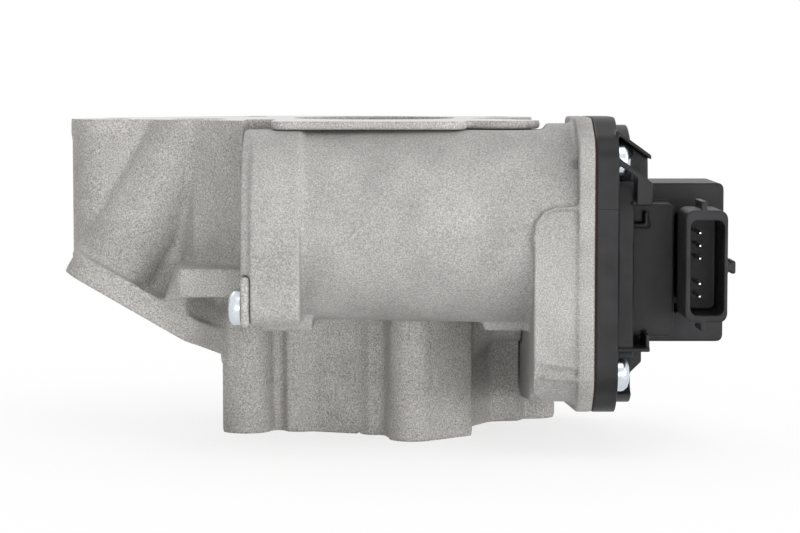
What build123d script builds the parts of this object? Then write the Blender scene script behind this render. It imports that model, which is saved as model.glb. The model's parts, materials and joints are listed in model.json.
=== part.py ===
from build123d import *
import os
from math import acos, atan2, cos, degrees, hypot, pi, radians, sin, sqrt

# Electric exhaust-gas-recirculation flap valve. Millimetres, +Z up.
# The origin is the centre of the main gas port in the machined top face of the body.
# The motor, the idler pin and the output shaft all lie along X; the gear end is at +X.

os.makedirs("parts", exist_ok=True)

# ---------------------------------------------------------------- driving dimensions
# Axes of the three parallel shafts (Y, Z)
MOTOR_Y, MOTOR_Z = -40.0, -26.6
SHAFT_Y, SHAFT_Z = 0.0, -53.0

# Running and joint clearances
RUN_FIT = 0.04          # radial clearance of a turning shaft in its bearing
SLIP_FIT = 0.15         # radial clearance of a piece slipped into its seat
SCREW_GAP = 0.25        # radial clearance round a screw

# Gas way through the body
PORT_R, PORT_DEPTH = 22.0, 4.0
THROAT_R, THROAT_TOP = 15.0, -45.0
OUTLET_R, OUTLET_TOP = 15.6, -69.0
BASE_Z = -85.0
GAS_WALL = 4.0

# Motor tube and the cradle that the body wraps round it
TUBE_R_LEFT, TUBE_R_RIGHT = 24.8, 26.0
TUBE_X_LEFT = -18.2
CRADLE_R = 27.0
CRADLE_WALL = 3.0
MOTOR_BORE_X = -16.0
LIP_UNDER = 2.2         # thickness of the top plate's lip over the motor tube

# Actuator housing and gear case
BOSS_X_LEFT, BOSS_X_RIGHT = -30.5, -18.0
END_PLATE_X = -33.0
CASE_X = 40.5
CASE_FLOOR = 4.0
CASE_FRONT_Y = -67.0    # flat front face of the gear case
FLANGE_X, JOINT_X = 51.5, 55.5
FLANGE_PROUD = 1.8
BOSS_R = 25.9           # arch over the closed motor end
BOSS_FRONT_Y = -66.5

# Cover
GASKET_T = 0.4
RIM_T = 5.6
PLATEAU_T = 4.0
COVER_WALL = 2.4
BOARD_T = 1.6

# Gears (module, tooth numbers, face widths)
MODULE = 0.8
PINION_TEETH, WHEEL_TEETH = 12, 54
IDLER_TEETH, SECTOR_TEETH = 12, 50
PRESSURE_ANGLE = 25.0
ADDENDUM, DEDENDUM = 0.8, 1.08
BACKLASH = 0.12
SECTOR_T, WHEEL_T = 5.5, 5.0
SECTOR_X = CASE_X + CASE_FLOOR + 5.5
WHEEL_X = SECTOR_X + SECTOR_T + 1.6
FLAP_TRAVEL = 85.0
SECTOR_MARGIN = 14.0

# Motor, from the outside in, and the bore that holds it
CAN_R, CAN_WALL, CAN_FIT = 21.2, 1.2, 0.2
CAN_NECK_R, CAN_NECK_L = 7.6, 3.6
MAGNET_T, AIR_GAP = 3.6, 1.8
POLE_GAP = 5.0          # half the gap between the two magnets
ARMATURE_R, ARMATURE_L = CAN_R - CAN_WALL - MAGNET_T - AIR_GAP, 27.0
WINDING_R, WINDING_END_R, WINDING_L = 12.6, 11.0, 6.0
MOTOR_BORE_R = CAN_R + CAN_FIT
MOTOR_SHAFT_R = 2.5
SLOTS = 8
REAR_BEARING_R, FRONT_BEARING_R = 5.0, 6.0
CAP_T = 2.6
COMMUTATOR_R = 6.2
BRUSH_REACH, BRUSH_HALF = 13.5, 2.0

# Output shaft and flap
SHAFT_R = 4.0
BUSH_T = 2.0
FLAP_R, FLAP_T = 14.75, 1.8
FLAP_SCREW_X = 7.0
NECK_R = 8.7
SHAFT_END_X = -26.6
FAR_BUSH_X, NEAR_BUSH_X = (-27.0, -19.0), (20.0, 29.0)
SEAL_X, BEARING_X = (29.6, 33.6), (35.0, CASE_X + 3.0)
PLUG_X = (-30.5, -27.6)
O_RING_R, O_RING_T = 8.0, 0.85
SPRING_R, SPRING_WIRE, SPRING_PITCH, SPRING_TURNS = 8.0, 0.6, 1.4, 2.4
POLE_R_OUT, POLE_R_IN = 6.2, 4.3        # magnet that the position sensor reads
IDLER_PIN_R = 2.0

# Screws (shank radius, head radius, head height)
M5_R, M5_HEAD_R, M5_HEAD_H = 2.5, 4.6, 3.2
M3_R, M3_HEAD_R, M3_HEAD_H = 1.5, 2.7, 1.6
DRIVE_R, DRIVE_DEPTH = 1.5, 1.8
COVER_SCREW_L, EAR_SCREW_L, FLOOR_SCREW_L = 9.8, 11.5, 13.0
COVER_SCREWS = [(-61.0, -9.3), (-61.0, -63.2), (-14.0, -6.0), (16.0, -70.8), (24.0, -38.0)]
EAR_SCREW = (-61.0, -46.5)
FLOOR_SCREWS = [(2.0, -37.4), (14.2, -55.8)]

# Tilted pipe flange on the left and the small duct that leads to it
TILT = 30.0
DUCT_X, DUCT_Y, DUCT_R = -46.5, -17.0, 6.4
TUBE_R = 12.0
FLANGE_T = 6.4
FLANGE_DROP = 52.0      # from the top face to the flange's outer face, along the duct
FLANGE_END = 35.8       # from the duct's axis to the flange's right end, along the flange
FLANGE_GAP = 0.3        # between that end and the columns beside it

# Front of the slanting wall between the duct and the motor end (X, Y)
WALL_FRONT = [(-53.0, -20.0), (-47.5, -28.8), (-44.0, -31.4), (-33.4, -41.0)]

# Bolt holes
TOP_HOLE_R, TOP_HOLE_L = 3.4, 14.0
TOP_HOLES = [(-69.0, -12.5), (34.0, 14.0), (-34.0, 22.0)]
BASE_HOLE_R, BASE_HOLE_L = 3.4, 16.0
BASE_BOSSES = [(-34.8, -10.0, 7.2), (10.3, -25.8, 6.5), (44.5, 18.4, 6.4), (-27.0, 23.0, 7.0)]
FOOT_T = 6.2            # height of the third boss where it runs under the gear case
PIPE_HOLE_R = 3.4
PIPE_HOLE_PITCH = 22.0

# Connector
SOCKET_X, SOCKET_W = 82.2, 10.4
SOCKET_Z, SOCKET_H = -35.0, 27.7
SOCKET_Y = -77.0
SOCKET_WALL = 1.8
SOCKET_DEPTH = 17.0
PIN_HALF = 0.4
PIN_PITCH, PIN_SLOTS, MISSING_PIN = 3.15, 6, 3


# ---------------------------------------------------------------- small helpers
def along_x(sketch, x0, x1):
    """Extrude a sketch drawn in (Y, Z) from x0 to x1."""
    return extrude(Plane.YZ.offset(x0) * sketch, x1 - x0)


def rod_x(r, y, z, x0, x1):
    return along_x(Pos(y, z) * Circle(r), x0, x1)


def ring_x(r_out, r_in, y, z, x0, x1):
    return rod_x(r_out, y, z, x0, x1) - rod_x(r_in, y, z, x0 - 1, x1 + 1)


def up_z(sketch, z0, z1):
    """Extrude a sketch drawn in (X, Y) from z0 to z1."""
    return extrude(Plane.XY.offset(z0) * sketch, z1 - z0)


def rod_z(r, x, y, z0, z1):
    return up_z(Pos(x, y) * Circle(r), z0, z1)


def block(x0, x1, y0, y1, z0, z1):
    return Pos((x0 + x1) / 2, (y0 + y1) / 2, (z0 + z1) / 2) * Box(x1 - x0, y1 - y0, z1 - z0)


def hull_of(circles):
    """Convex outline round a list of circles (a, b, r)."""
    edges = [e for a, b, r in circles for e in (Pos(a, b) * Circle(r)).edges()]
    return make_hull(edges)


def spun_x(points, y, z):
    """Revolve a profile of (x, r) points about the line through (y, z) along X."""
    profile = make_face(Polyline([(x, r) for x, r in points], close=True))
    turned = revolve(profile, Axis.X, 360)
    return Pos(0, y, z) * turned


def smooth(sketch, r):
    """Round the hollow corners of an outline."""
    return offset(offset(sketch, r), -r)


# ---------------------------------------------------------------- gear train geometry
def gear_radius(teeth):
    return MODULE * teeth / 2


STAGE_1 = gear_radius(PINION_TEETH) + gear_radius(WHEEL_TEETH)
STAGE_2 = gear_radius(IDLER_TEETH) + gear_radius(SECTOR_TEETH)
SPAN = hypot(SHAFT_Y - MOTOR_Y, SHAFT_Z - MOTOR_Z)
TO_SHAFT = atan2(SHAFT_Z - MOTOR_Z, SHAFT_Y - MOTOR_Y)
TO_IDLER = TO_SHAFT - acos((STAGE_1**2 + SPAN**2 - STAGE_2**2) / (2 * STAGE_1 * SPAN))
IDLER_Y = MOTOR_Y + STAGE_1 * cos(TO_IDLER)
IDLER_Z = MOTOR_Z + STAGE_1 * sin(TO_IDLER)
IDLER_TO_SHAFT = degrees(atan2(SHAFT_Z - IDLER_Z, SHAFT_Y - IDLER_Y))


def involute(base, radius):
    """Angle turned by the involute between its base circle and a radius."""
    t = sqrt(max((radius / base) ** 2 - 1, 0))
    return t - atan2(t, 1)


def tooth_points(teeth, centre, steps=3):
    """One tooth as a list of points, from its left root to its right root."""
    pitch = gear_radius(teeth)
    base = pitch * cos(radians(PRESSURE_ANGLE))
    tip, root = pitch + ADDENDUM * MODULE, pitch - DEDENDUM * MODULE
    half = pi / (2 * teeth) - BACKLASH / (2 * pitch) + involute(base, pitch)
    start = max(base, root)
    flank = [start + (tip - start) * i / steps for i in range(steps + 1)]
    left = [(r, centre - half + involute(base, r)) for r in flank]
    right = [(r, centre + half - involute(base, r)) for r in reversed(flank)]
    if base > root:
        left = [(root, left[0][1])] + left
        right = right + [(root, right[-1][1])]
    return [(r * cos(a), r * sin(a)) for r, a in left + right]


def gear_face(teeth, toward, count=None):
    """Gear outline with one tooth centred on the angle toward; count limits the teeth."""
    number = count or teeth
    step = 2 * pi / teeth
    points = []
    for i in range(number):
        points += tooth_points(teeth, radians(toward) + i * step)
    return make_face(Polyline(points, close=True))


# ---------------------------------------------------------------- outlines
def case_outline(grow=0.0):
    """Outline of the gear case in (Y, Z)."""
    return hull_of([
        (MOTOR_Y, MOTOR_Z, TUBE_R_RIGHT + grow),
        (CASE_FRONT_Y + 9.0, -29.6, 9.0 + grow),
        (CASE_FRONT_Y + 13.0, -58.2, 13.0 + grow),
        (IDLER_Y, IDLER_Z, gear_radius(WHEEL_TEETH) + 4.2 + grow),
        (SHAFT_Y, SHAFT_Z, gear_radius(SECTOR_TEETH) + 4.0 + grow),
    ])


def joint_outline(grow=0.0):
    """Outline of the joint flange, cover rim and gasket in (Y, Z)."""
    rings = [(y, z, 6.8 + grow) for y, z in COVER_SCREWS]
    rings.append((CASE_FRONT_Y + 12.6, -60.6, 13.2 + grow))
    return hull_of([
        (MOTOR_Y, MOTOR_Z, TUBE_R_RIGHT + FLANGE_PROUD + grow),
        (-50.0, -16.6, 17.8 + grow),
        (SHAFT_Y, SHAFT_Z, gear_radius(SECTOR_TEETH) + 5.0 + grow),
    ] + rings)


def gear_room():
    """Clear space for the gears, in (Y, Z)."""
    return hull_of([
        (MOTOR_Y, MOTOR_Z, MOTOR_BORE_R),
        (IDLER_Y, IDLER_Z, gear_radius(WHEEL_TEETH) + 1.2),
        (SHAFT_Y, SHAFT_Z, gear_radius(SECTOR_TEETH) + 1.4),
    ])


def screw_discs(r):
    discs = Sketch()
    for y, z in COVER_SCREWS:
        discs += Pos(y, z) * Circle(r)
    return discs


# ---------------------------------------------------------------- valve body
def tilt_frame(drop):
    """Plane across the tilted duct, drop millimetres down its axis."""
    down = Vector(-sin(radians(TILT)), 0, -cos(radians(TILT)))
    origin = Vector(DUCT_X, DUCT_Y, 0) + down * drop
    along = Vector(cos(radians(TILT)), 0, -sin(radians(TILT)))
    return Plane(origin=origin, x_dir=along, z_dir=-down)


def top_outline():
    left = hull_of([(-71.4, -12.4, 10.2), (-40.0, -13.0, 9.6), (-66.0, 0.0, 9.0), (-26.0, 9.0, 24.0),
                    (0.0, 6.0, PORT_R + GAS_WALL)])
    duct = make_face(Polyline([(-60.6, -19.0), (-57.4, -24.6), (-52.0, -28.2)] + WALL_FRONT[1:]
                              + [(-33.4, -6.2), (-60.6, -6.2)], close=True))
    lip = Pos(-1.0, -27.0) * RectangleRounded(50.5, 46.0, 4.0)
    front_ear = hull_of([(34.0, -33.0, 9.6), (4.0, -8.0, 20.0)])
    rear_ear = hull_of([(34.0, 14.0, 10.0), (4.0, 8.0, 22.0)])
    return left + duct + lip + front_ear + rear_ear


def base_outline():
    (lx, ly, lr), (fx, fy, fr), (rx, ry, rr), (bx, by, br) = BASE_BOSSES
    core = make_face(Polyline(
        (-27.6, -7.6), (-26.0, -8.4), (-23.6, -13.4), (-19.0, -14.0), (-17.0, -12.8), (-3.5, -17.6),
        (-1.2, -19.8), (2.6, -19.6), (4.0, fy), (16.4, fy - 3.4), (26.4, -20.4), (26.4, -4.0),
        (29.6, 1.6), (32.0, 6.0), (36.9, 7.5), (40.2, 7.7), (rx, ry), (rx - 8, 24.0), (14.0, 24.0),
        (0.0, 27.0), (-20.0, 28.0), (-33.0, by), (-36.0, ly), close=True))
    bosses = Sketch()
    for x, y, r in BASE_BOSSES:
        bosses += Pos(x, y) * Circle(r)
    return smooth(core + bosses, 1.6)


def valve_body():
    foot_x, foot_y, foot_r = BASE_BOSSES[2]
    inside = tilt_frame(FLANGE_DROP - FLANGE_T / 2)
    pipe = extrude(inside * Circle(TUBE_R), FLANGE_DROP + TUBE_R)
    pipe &= block(-120, 20, -60, 60, -100, -1.3)
    lobe = up_z(hull_of([(-71.4, -12.4, 9.9), (-48.0, -13.0, 9.2), (-66.0, 0.0, 8.7)]), -66, -1.0)
    web = up_z(hull_of([(-45.0, -9.0, 12.7), (-22.0, 4.0, 22.3)]), -49, -1.2)
    wall = up_z(make_face(Polyline(WALL_FRONT + [(-33.4, -6.0), (-53.0, -6.0)], close=True)), -43.0, -1.1)
    upper = up_z(top_outline(), -4.5, 0)
    chamber = rod_z(PORT_R + GAS_WALL + 0.3, 0, 0, -47.3, -0.8)
    skirt = up_z(base_outline(), BASE_Z, -46)
    skirt -= block(CASE_X - 0.3, foot_x + foot_r + 2, 5, 40, BASE_Z + FOOT_T, -40)
    far_boss = rod_x(9.5, SHAFT_Y, SHAFT_Z, -31, -12)
    neck = spun_x([(12, 0), (12, 12.5), (27, 12.5), (33, NECK_R), (CASE_X, NECK_R), (CASE_X, 7.0),
                   (CASE_X + 3.6, 7.0), (CASE_X + 3.6, 0)], SHAFT_Y, SHAFT_Z)
    stem = up_z(hull_of([(34.5, 14.0, 4.2), (26.0, 12.0, 8.0)]), BASE_Z, -40)
    pads = [along_x(hull_of([(SHAFT_Y, SHAFT_Z, NECK_R), (y, z, 6.0)]), CASE_X - 6, CASE_X)
            for y, z in FLOOR_SCREWS]
    body = pipe
    for piece in [lobe, web, wall, upper, chamber, skirt, far_boss, neck, stem] + pads:
        body += piece
    flange_end_x = DUCT_X - FLANGE_DROP * sin(radians(TILT)) + FLANGE_END * cos(radians(TILT))
    below = extrude(inside * Rectangle(110, 130), -60)
    body -= below & block(-120, flange_end_x + FLANGE_GAP, -70, 60, -120, 0)
    body += extrude(tilt_frame(FLANGE_DROP) * pipe_flange_outline(), FLANGE_T)
    heel = up_z(make_face(Polyline((-49.6, -32.6), (-37.6, -14.0), (-37.6, 6.0), (-62.0, 6.0),
                                   (-62.0, -32.6), close=True)), -72, -47.0)
    body += heel - extrude(tilt_frame(FLANGE_DROP - 0.1) * Rectangle(140, 140), -60)
    body += block(-50.0, BOSS_X_LEFT - 0.1, -45, -22, -45.5, -38.0)
    body += block(END_PLATE_X, BOSS_X_LEFT - 0.1, -66, -30, -51, -38.4)
    for x, y in TOP_HOLES[1:]:
        body += rod_z(TOP_HOLE_R + 3.6, x, y, -TOP_HOLE_L - 3, -1)

    # Cradle round the actuator, and the hollow ways
    body -= rod_x(CRADLE_R, MOTOR_Y, MOTOR_Z, BOSS_X_LEFT, 90) & block(-40, 90, -90, 60, -120, -LIP_UNDER)
    body -= block(BOSS_X_LEFT, -16, -90, -32, -56, -LIP_UNDER)
    plate_seat = rod_x(CRADLE_R - 1, MOTOR_Y, MOTOR_Z, END_PLATE_X - 0.3, BOSS_X_LEFT + 1)
    body -= plate_seat & block(-40, 0, -90, 60, -38.4, -LIP_UNDER)
    cone = Solid.make_cone(THROAT_R, PORT_R, -PORT_DEPTH - THROAT_TOP)
    gas = Pos(0, 0, THROAT_TOP) * cone - rod_x(CRADLE_R + CRADLE_WALL, MOTOR_Y, MOTOR_Z, -60, 60)
    gas += rod_z(PORT_R, 0, 0, -PORT_DEPTH, 1)
    gas += rod_z(THROAT_R, 0, 0, BASE_Z - 1, THROAT_TOP)
    gas += rod_z(OUTLET_R, 0, 0, BASE_Z - 1, OUTLET_TOP)
    body -= gas
    body -= extrude(tilt_frame(FLANGE_DROP + 5) * Circle(DUCT_R), FLANGE_DROP + 20)
    for x, y in TOP_HOLES:
        body -= rod_z(TOP_HOLE_R, x, y, -TOP_HOLE_L, 1)
    for x, y, r in BASE_BOSSES[:2] + BASE_BOSSES[3:]:
        body -= rod_z(BASE_HOLE_R, x, y, BASE_Z - 1, BASE_Z + BASE_HOLE_L)
    foot = BASE_BOSSES[2]
    body -= rod_z(BASE_HOLE_R, foot[0], foot[1], BASE_Z - 1, BASE_Z + 9)
    for side in (-1, 1):
        hole = Pos(0, side * PIPE_HOLE_PITCH / 2) * Circle(PIPE_HOLE_R)
        body -= extrude(tilt_frame(FLANGE_DROP + 1) * Pos(10.5, 0) * hole, 9)

    # Shaft bore with its bush, seal and bearing seats
    body -= rod_x(SHAFT_R + 0.6, SHAFT_Y, SHAFT_Z, PLUG_X[0] - 1.5, 50)
    body -= rod_x(SHAFT_R + BUSH_T, SHAFT_Y, SHAFT_Z, PLUG_X[0] - 1.5, FAR_BUSH_X[1])
    body -= rod_x(SHAFT_R + BUSH_T, SHAFT_Y, SHAFT_Z, NEAR_BUSH_X[0], 50)
    ear_y, ear_z = EAR_SCREW
    body -= rod_x(M5_R + SCREW_GAP, ear_y, ear_z, -40, -28)
    for y, z in FLOOR_SCREWS:
        body -= rod_x(M5_R, y, z, CASE_X - 12, CASE_X + 1)
    return body


def pipe_flange_outline():
    """Outline of the tilted flange, across the duct axis."""
    return make_face(FilletPolyline(
        (-10.6, -15.6), (26.6, -15.6), (FLANGE_END, 2.0), (FLANGE_END, 17.0), (20.6, 17.0), (-10.6, 13.0),
        radius=5.0, close=True))


# ---------------------------------------------------------------- actuator housing
def boss_outline(grow=0.0):
    """Tunnel-shaped outline of the closed motor end, in (Y, Z)."""
    arch = Pos(MOTOR_Y, MOTOR_Z) * Circle(BOSS_R + grow)
    foot = Pos(BOSS_FRONT_Y + 16.0, -38.5) * RectangleRounded(32.0 + 2 * grow, 25.2 + 2 * grow, 3.0)
    return arch + foot


def case_corners():
    """Slanted corners of the gear case's left edge, cut through its front part along Y."""
    top = [(CASE_X - 1, -28.6), (CASE_X + 0.4, -25.6), (CASE_X + 2.4, -22.6), (CASE_X + 5.2, -21.2),
           (FLANGE_X, -21.0), (FLANGE_X, 20.0), (CASE_X - 1, 20.0)]
    low = [(CASE_X - 1, -66.0), (CASE_X + 0.5, -68.6), (CASE_X + 2.6, -71.0), (CASE_X + 5.0, -72.2),
           (CASE_X + 5.0, -76.0), (CASE_X - 1, -76.0)]
    cuts = Part()
    for points, y1 in ((top, MOTOR_Y - TUBE_R_RIGHT + 8.0), (low, MOTOR_Y - 4.0)):
        profile = Plane.XZ * make_face(Polyline(points, close=True))
        cuts += Pos(0, y1, 0) * extrude(profile, 60)
    return cuts


def actuator_housing():
    tube = spun_x([(TUBE_X_LEFT, 0), (TUBE_X_LEFT, TUBE_R_LEFT), (FLANGE_X, TUBE_R_RIGHT),
                   (FLANGE_X, 0)], MOTOR_Y, MOTOR_Z)
    closed = along_x(boss_outline(), BOSS_X_LEFT, BOSS_X_RIGHT)
    plate = along_x(boss_outline(-1.0), END_PLATE_X, BOSS_X_LEFT)
    plate &= block(-60, 0, -90, 60, -38.1, 20)
    case = along_x(case_outline(), CASE_X, FLANGE_X)
    case -= case_corners()
    flange = along_x(joint_outline(), FLANGE_X, JOINT_X)
    housing = tube + closed + plate + case + flange
    housing += block(-29.0, -15.4, -50.0, -34.0, -53.8, -49.5)
    housing += block(28.7, CASE_X + 1, -46.0, -34.0, -54.0, -49.5)
    housing -= block(-60, CASE_X + 4, -90, 60, -LIP_UNDER - 0.15, 20)

    housing -= rod_x(MOTOR_BORE_R, MOTOR_Y, MOTOR_Z, MOTOR_BORE_X, 60)
    housing -= rod_x(8.0, MOTOR_Y, MOTOR_Z, MOTOR_BORE_X - 4, 60)
    housing -= along_x(gear_room(), CASE_X + CASE_FLOOR, JOINT_X + 1)
    housing += rod_x(IDLER_PIN_R + 2.2, IDLER_Y, IDLER_Z, CASE_X, CASE_X + CASE_FLOOR + 3.6)
    housing -= rod_x(IDLER_PIN_R, IDLER_Y, IDLER_Z, CASE_X + 1, 60)
    housing -= rod_x(7.0 + SLIP_FIT, SHAFT_Y, SHAFT_Z, CASE_X - 1, CASE_X + CASE_FLOOR + 1)
    housing -= rod_x(9.0, SHAFT_Y, SHAFT_Z, CASE_X - 1, CASE_X + 1.8)
    for y, z in COVER_SCREWS:
        housing -= rod_x(M5_R, y, z, FLANGE_X - 1, JOINT_X + 1)
    for y, z in FLOOR_SCREWS:
        housing -= rod_x(M5_R + SCREW_GAP, y, z, CASE_X - 1, CASE_X + CASE_FLOOR + 1)
    ear_y, ear_z = EAR_SCREW
    housing -= rod_x(M5_R, ear_y, ear_z, END_PLATE_X - 1, BOSS_X_LEFT + 11)
    return housing


# ---------------------------------------------------------------- cover, connector, gasket
COVER_X = JOINT_X + GASKET_T
RIM_X = COVER_X + RIM_T
PLATEAU_X = RIM_X + PLATEAU_T


def gear_cover():
    rim = along_x(joint_outline(), COVER_X, RIM_X)
    dome = along_x(cover_dome(), RIM_X, PLATEAU_X)
    room = along_x(gear_room(), COVER_X - 1, PLATEAU_X - COVER_WALL)
    cover = rim + dome - screw_pads()
    tower = block(PLATEAU_X - 1, 76.6, -55.0, -14.0, -54.5, -20.7)
    cover += fillet(tower.edges().filter_by(Axis.Y).sort_by(Axis.X)[-2:], 1.4)
    rear_box = block(PLATEAU_X - 1, 91.0, -40.0, -12.0, -57.4, -16.1)
    rear_box = fillet(rear_box.edges().filter_by(Axis.Y).sort_by(Axis.X)[-2:], 1.6)
    cover += rear_box - block(76.9, 88.6, -41.0, -22.0, -49.6, -24.2)
    cover += socket_shell()
    cover += gussets()
    cover -= room
    cover += rod_x(IDLER_PIN_R + 2.0, IDLER_Y, IDLER_Z, WHEEL_X + WHEEL_T + 0.3, PLATEAU_X - 1)
    cover -= rod_x(IDLER_PIN_R + SLIP_FIT / 3, IDLER_Y, IDLER_Z, 50, PLATEAU_X - 0.9)
    for y, z in COVER_SCREWS:
        cover -= rod_x(M5_R + SCREW_GAP, y, z, COVER_X - 1, RIM_X + 1)
    return cover


def cover_dome():
    return hull_of([
        (MOTOR_Y, MOTOR_Z, 25.6),
        (-51.8, -58.6, 13.0),
        (IDLER_Y, IDLER_Z, gear_radius(WHEEL_TEETH) + 1.2 + COVER_WALL),
        (SHAFT_Y, SHAFT_Z, gear_radius(SECTOR_TEETH) + 1.2 + COVER_WALL),
    ])


def screw_pads():
    return along_x(screw_discs(M5_HEAD_R + 0.9), RIM_X, PLATEAU_X + 1)


def socket_shell():
    x0, x1 = SOCKET_X - SOCKET_W / 2, SOCKET_X + SOCKET_W / 2
    z0, z1 = SOCKET_Z - SOCKET_H / 2, SOCKET_Z + SOCKET_H / 2
    shell = block(x0, x1, SOCKET_Y, SOCKET_Y + SOCKET_DEPTH + 2, z0, z1)
    shell = fillet(shell.edges().filter_by(Axis.Y), 2.2)
    inner = block(x0 + SOCKET_WALL * 0.7, x1 - SOCKET_WALL * 0.5, SOCKET_Y - 1,
                  SOCKET_Y + SOCKET_DEPTH, z0 + SOCKET_WALL, z1 - SOCKET_WALL * 1.4)
    inner = fillet(inner.edges().filter_by(Axis.Y), 1.8)
    shell += block(SOCKET_X - 1.8, x1 - 0.2, SOCKET_Y + SOCKET_DEPTH + 1, -21.0, z0 + 2, z1 - 2)
    shell += block(SOCKET_X - 1.4, SOCKET_X, SOCKET_Y, SOCKET_Y + 14, z1 - 1.2, z1 + 2.2)
    shell += block(SOCKET_X - 1.4, SOCKET_X, SOCKET_Y, SOCKET_Y + 12, z0 - 2.2, z0 + 1.2)
    shell += block(x1 - 0.4, x1 + 0.9, SOCKET_Y + 0.4, SOCKET_Y + 10, -36.3, -34.2)
    shell += block(x1 + 0.8, x1 + 2.0, SOCKET_Y + 0.4, SOCKET_Y + 10, -36.8, -33.6)
    return shell - inner


def upright(points, y0, y1):
    """Plate in the XZ plane between y0 and y1."""
    face = Plane.XZ * make_face(Polyline(points, close=True))
    return Pos(0, y1, 0) * extrude(face, y1 - y0)


def gussets():
    edge = RIM_X - 0.6
    ribs = upright([(edge, -1.7), (69.7, -8.1), (69.7, -9.2), (edge, -2.8)], -64.6, -54.0)
    ribs += upright([(edge, -1.7), (69.7, -8.1), (69.9, -20.6), (edge, -20.6)], -55.3, -54.1)
    ribs += upright([(edge, -8.2), (69.7, -14.8), (69.9, -20.5), (66.0, -20.5), (66.0, -13.8),
                     (edge, -10.0)], -67.1, -66.0)
    ribs += block(68.9, 69.85, -66.6, -54.6, -20.4, -14.9)
    ribs += block(PLATEAU_X - 0.6, 69.8, -66.6, -54.6, -20.5, -19.6)
    ribs += block(PLATEAU_X - 1, 70.0, -58.4, -54.0, -26.5, -25.5)
    ribs += block(68.7, 69.7, -58.4, -54.6, -26.0, -22.6)
    ribs += block(edge, 69.6, -66.0, -40.0, -57.3, -56.4)
    ribs += block(68.6, 69.5, -65.4, -50.0, -57.0, -53.0)
    ribs += upright([(edge, -57.0), (68.4, -57.0), (68.4, -61.0), (PLATEAU_X, -63.8), (edge, -63.8)],
                    -55.3, -54.1)
    return ribs


def connector_pins():
    pins = Part()
    for i in range(PIN_SLOTS):
        if i == MISSING_PIN:
            continue
        z = SOCKET_Z + (2.5 - i) * PIN_PITCH
        x0, x1 = SOCKET_X - 1.3, SOCKET_X - 0.5
        pins += block(x0, x1, SOCKET_Y + 6, SOCKET_Y + SOCKET_DEPTH, z - PIN_HALF, z + PIN_HALF)
    return pins


def cover_gasket():
    ring = along_x(joint_outline(-0.3), JOINT_X, COVER_X)
    ring -= along_x(gear_room(), JOINT_X - 1, COVER_X + 1)
    for y, z in COVER_SCREWS:
        ring -= rod_x(M5_R + SCREW_GAP, y, z, JOINT_X - 1, COVER_X + 1)
    return ring


# ---------------------------------------------------------------- screws
def pan_screw(y, z, x_seat, length, direction):
    """Pan-head screw along X: head on the far side of its seat from direction."""
    head = [(0, 0), (0, M5_HEAD_R), (-1.4, M5_HEAD_R), (-2.7, M5_HEAD_R - 1.5), (-M5_HEAD_H, 1.6),
            (-M5_HEAD_H, 0)]
    profile = [(x_seat + direction * a, r) for a, r in head]
    screw = spun_x(profile, y, z)
    tip = x_seat + direction * length
    screw += rod_x(M5_R, y, z, min(x_seat, tip), max(x_seat, tip))
    socket_end = x_seat - direction * (M5_HEAD_H - DRIVE_DEPTH)
    return screw - rod_x(DRIVE_R, y, z, x_seat - direction * (M5_HEAD_H + 1), socket_end)


def cover_screws():
    return [pan_screw(y, z, RIM_X, COVER_SCREW_L, -1) for y, z in COVER_SCREWS]


def housing_screws():
    screws = [pan_screw(*EAR_SCREW, END_PLATE_X, EAR_SCREW_L, 1)]
    for y, z in FLOOR_SCREWS:
        screws.append(pan_screw(y, z, CASE_X + CASE_FLOOR, FLOOR_SCREW_L, -1))
    return screws


# ---------------------------------------------------------------- motor
CAN_X0, CAN_X1 = MOTOR_BORE_X + 0.1, CASE_X + 1.0
CORE_X0 = CAN_X0 + 11.0
CORE_X1 = CORE_X0 + ARMATURE_L


def motor_can():
    can = ring_x(CAN_R, CAN_R - CAN_WALL, MOTOR_Y, MOTOR_Z, CAN_X0, CAN_X1)
    can += ring_x(CAN_R, REAR_BEARING_R, MOTOR_Y, MOTOR_Z, CAN_X0, CAN_X0 + CAN_WALL)
    can += ring_x(CAN_NECK_R, REAR_BEARING_R, MOTOR_Y, MOTOR_Z, CAN_X0 - CAN_NECK_L, CAN_X0 + CAN_WALL)
    return can


def motor_end_cap():
    cap = ring_x(CAN_R, FRONT_BEARING_R, MOTOR_Y, MOTOR_Z, CAN_X1, CAN_X1 + CAP_T)
    spigot_r = CAN_R - CAN_WALL - 0.1
    cap += ring_x(spigot_r, spigot_r - 3.9, MOTOR_Y, MOTOR_Z, CAN_X1 - 3, CAN_X1)
    return cap


def motor_magnets():
    r_out = CAN_R - CAN_WALL
    x0, x1 = CORE_X0 - 2, CORE_X1 + 2
    shell = ring_x(r_out, r_out - MAGNET_T, MOTOR_Y, MOTOR_Z, x0, x1)
    y0, y1 = MOTOR_Y - POLE_GAP, MOTOR_Y + POLE_GAP
    gap = block(x0 - 1, x1 + 1, y0, y1, MOTOR_Z - 2 * CAN_R, MOTOR_Z + 2 * CAN_R)
    return (shell - gap).solids()


def armature_core():
    disc = Pos(MOTOR_Y, MOTOR_Z) * Circle(ARMATURE_R)
    for i in range(SLOTS):
        slot = Rot(0, 0, i * 360 / SLOTS) * Pos(ARMATURE_R - 3.4, 0) * Rectangle(6.0, 2.6)
        mouth = Rot(0, 0, i * 360 / SLOTS) * Pos(ARMATURE_R, 0) * Rectangle(3.0, 1.2)
        disc -= Pos(MOTOR_Y, MOTOR_Z) * (slot + mouth)
    disc -= Pos(MOTOR_Y, MOTOR_Z) * Circle(MOTOR_SHAFT_R)
    return along_x(disc, CORE_X0, CORE_X1)


def end_turns(x, side):
    """Winding outside the core; side is -1 at the closed end and 1 at the commutator."""
    profile = [(x, 4.5), (x, WINDING_R), (x + side * (WINDING_L - 1), WINDING_END_R),
               (x + side * WINDING_L, 5.0)]
    return spun_x(profile, MOTOR_Y, MOTOR_Z)


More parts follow.
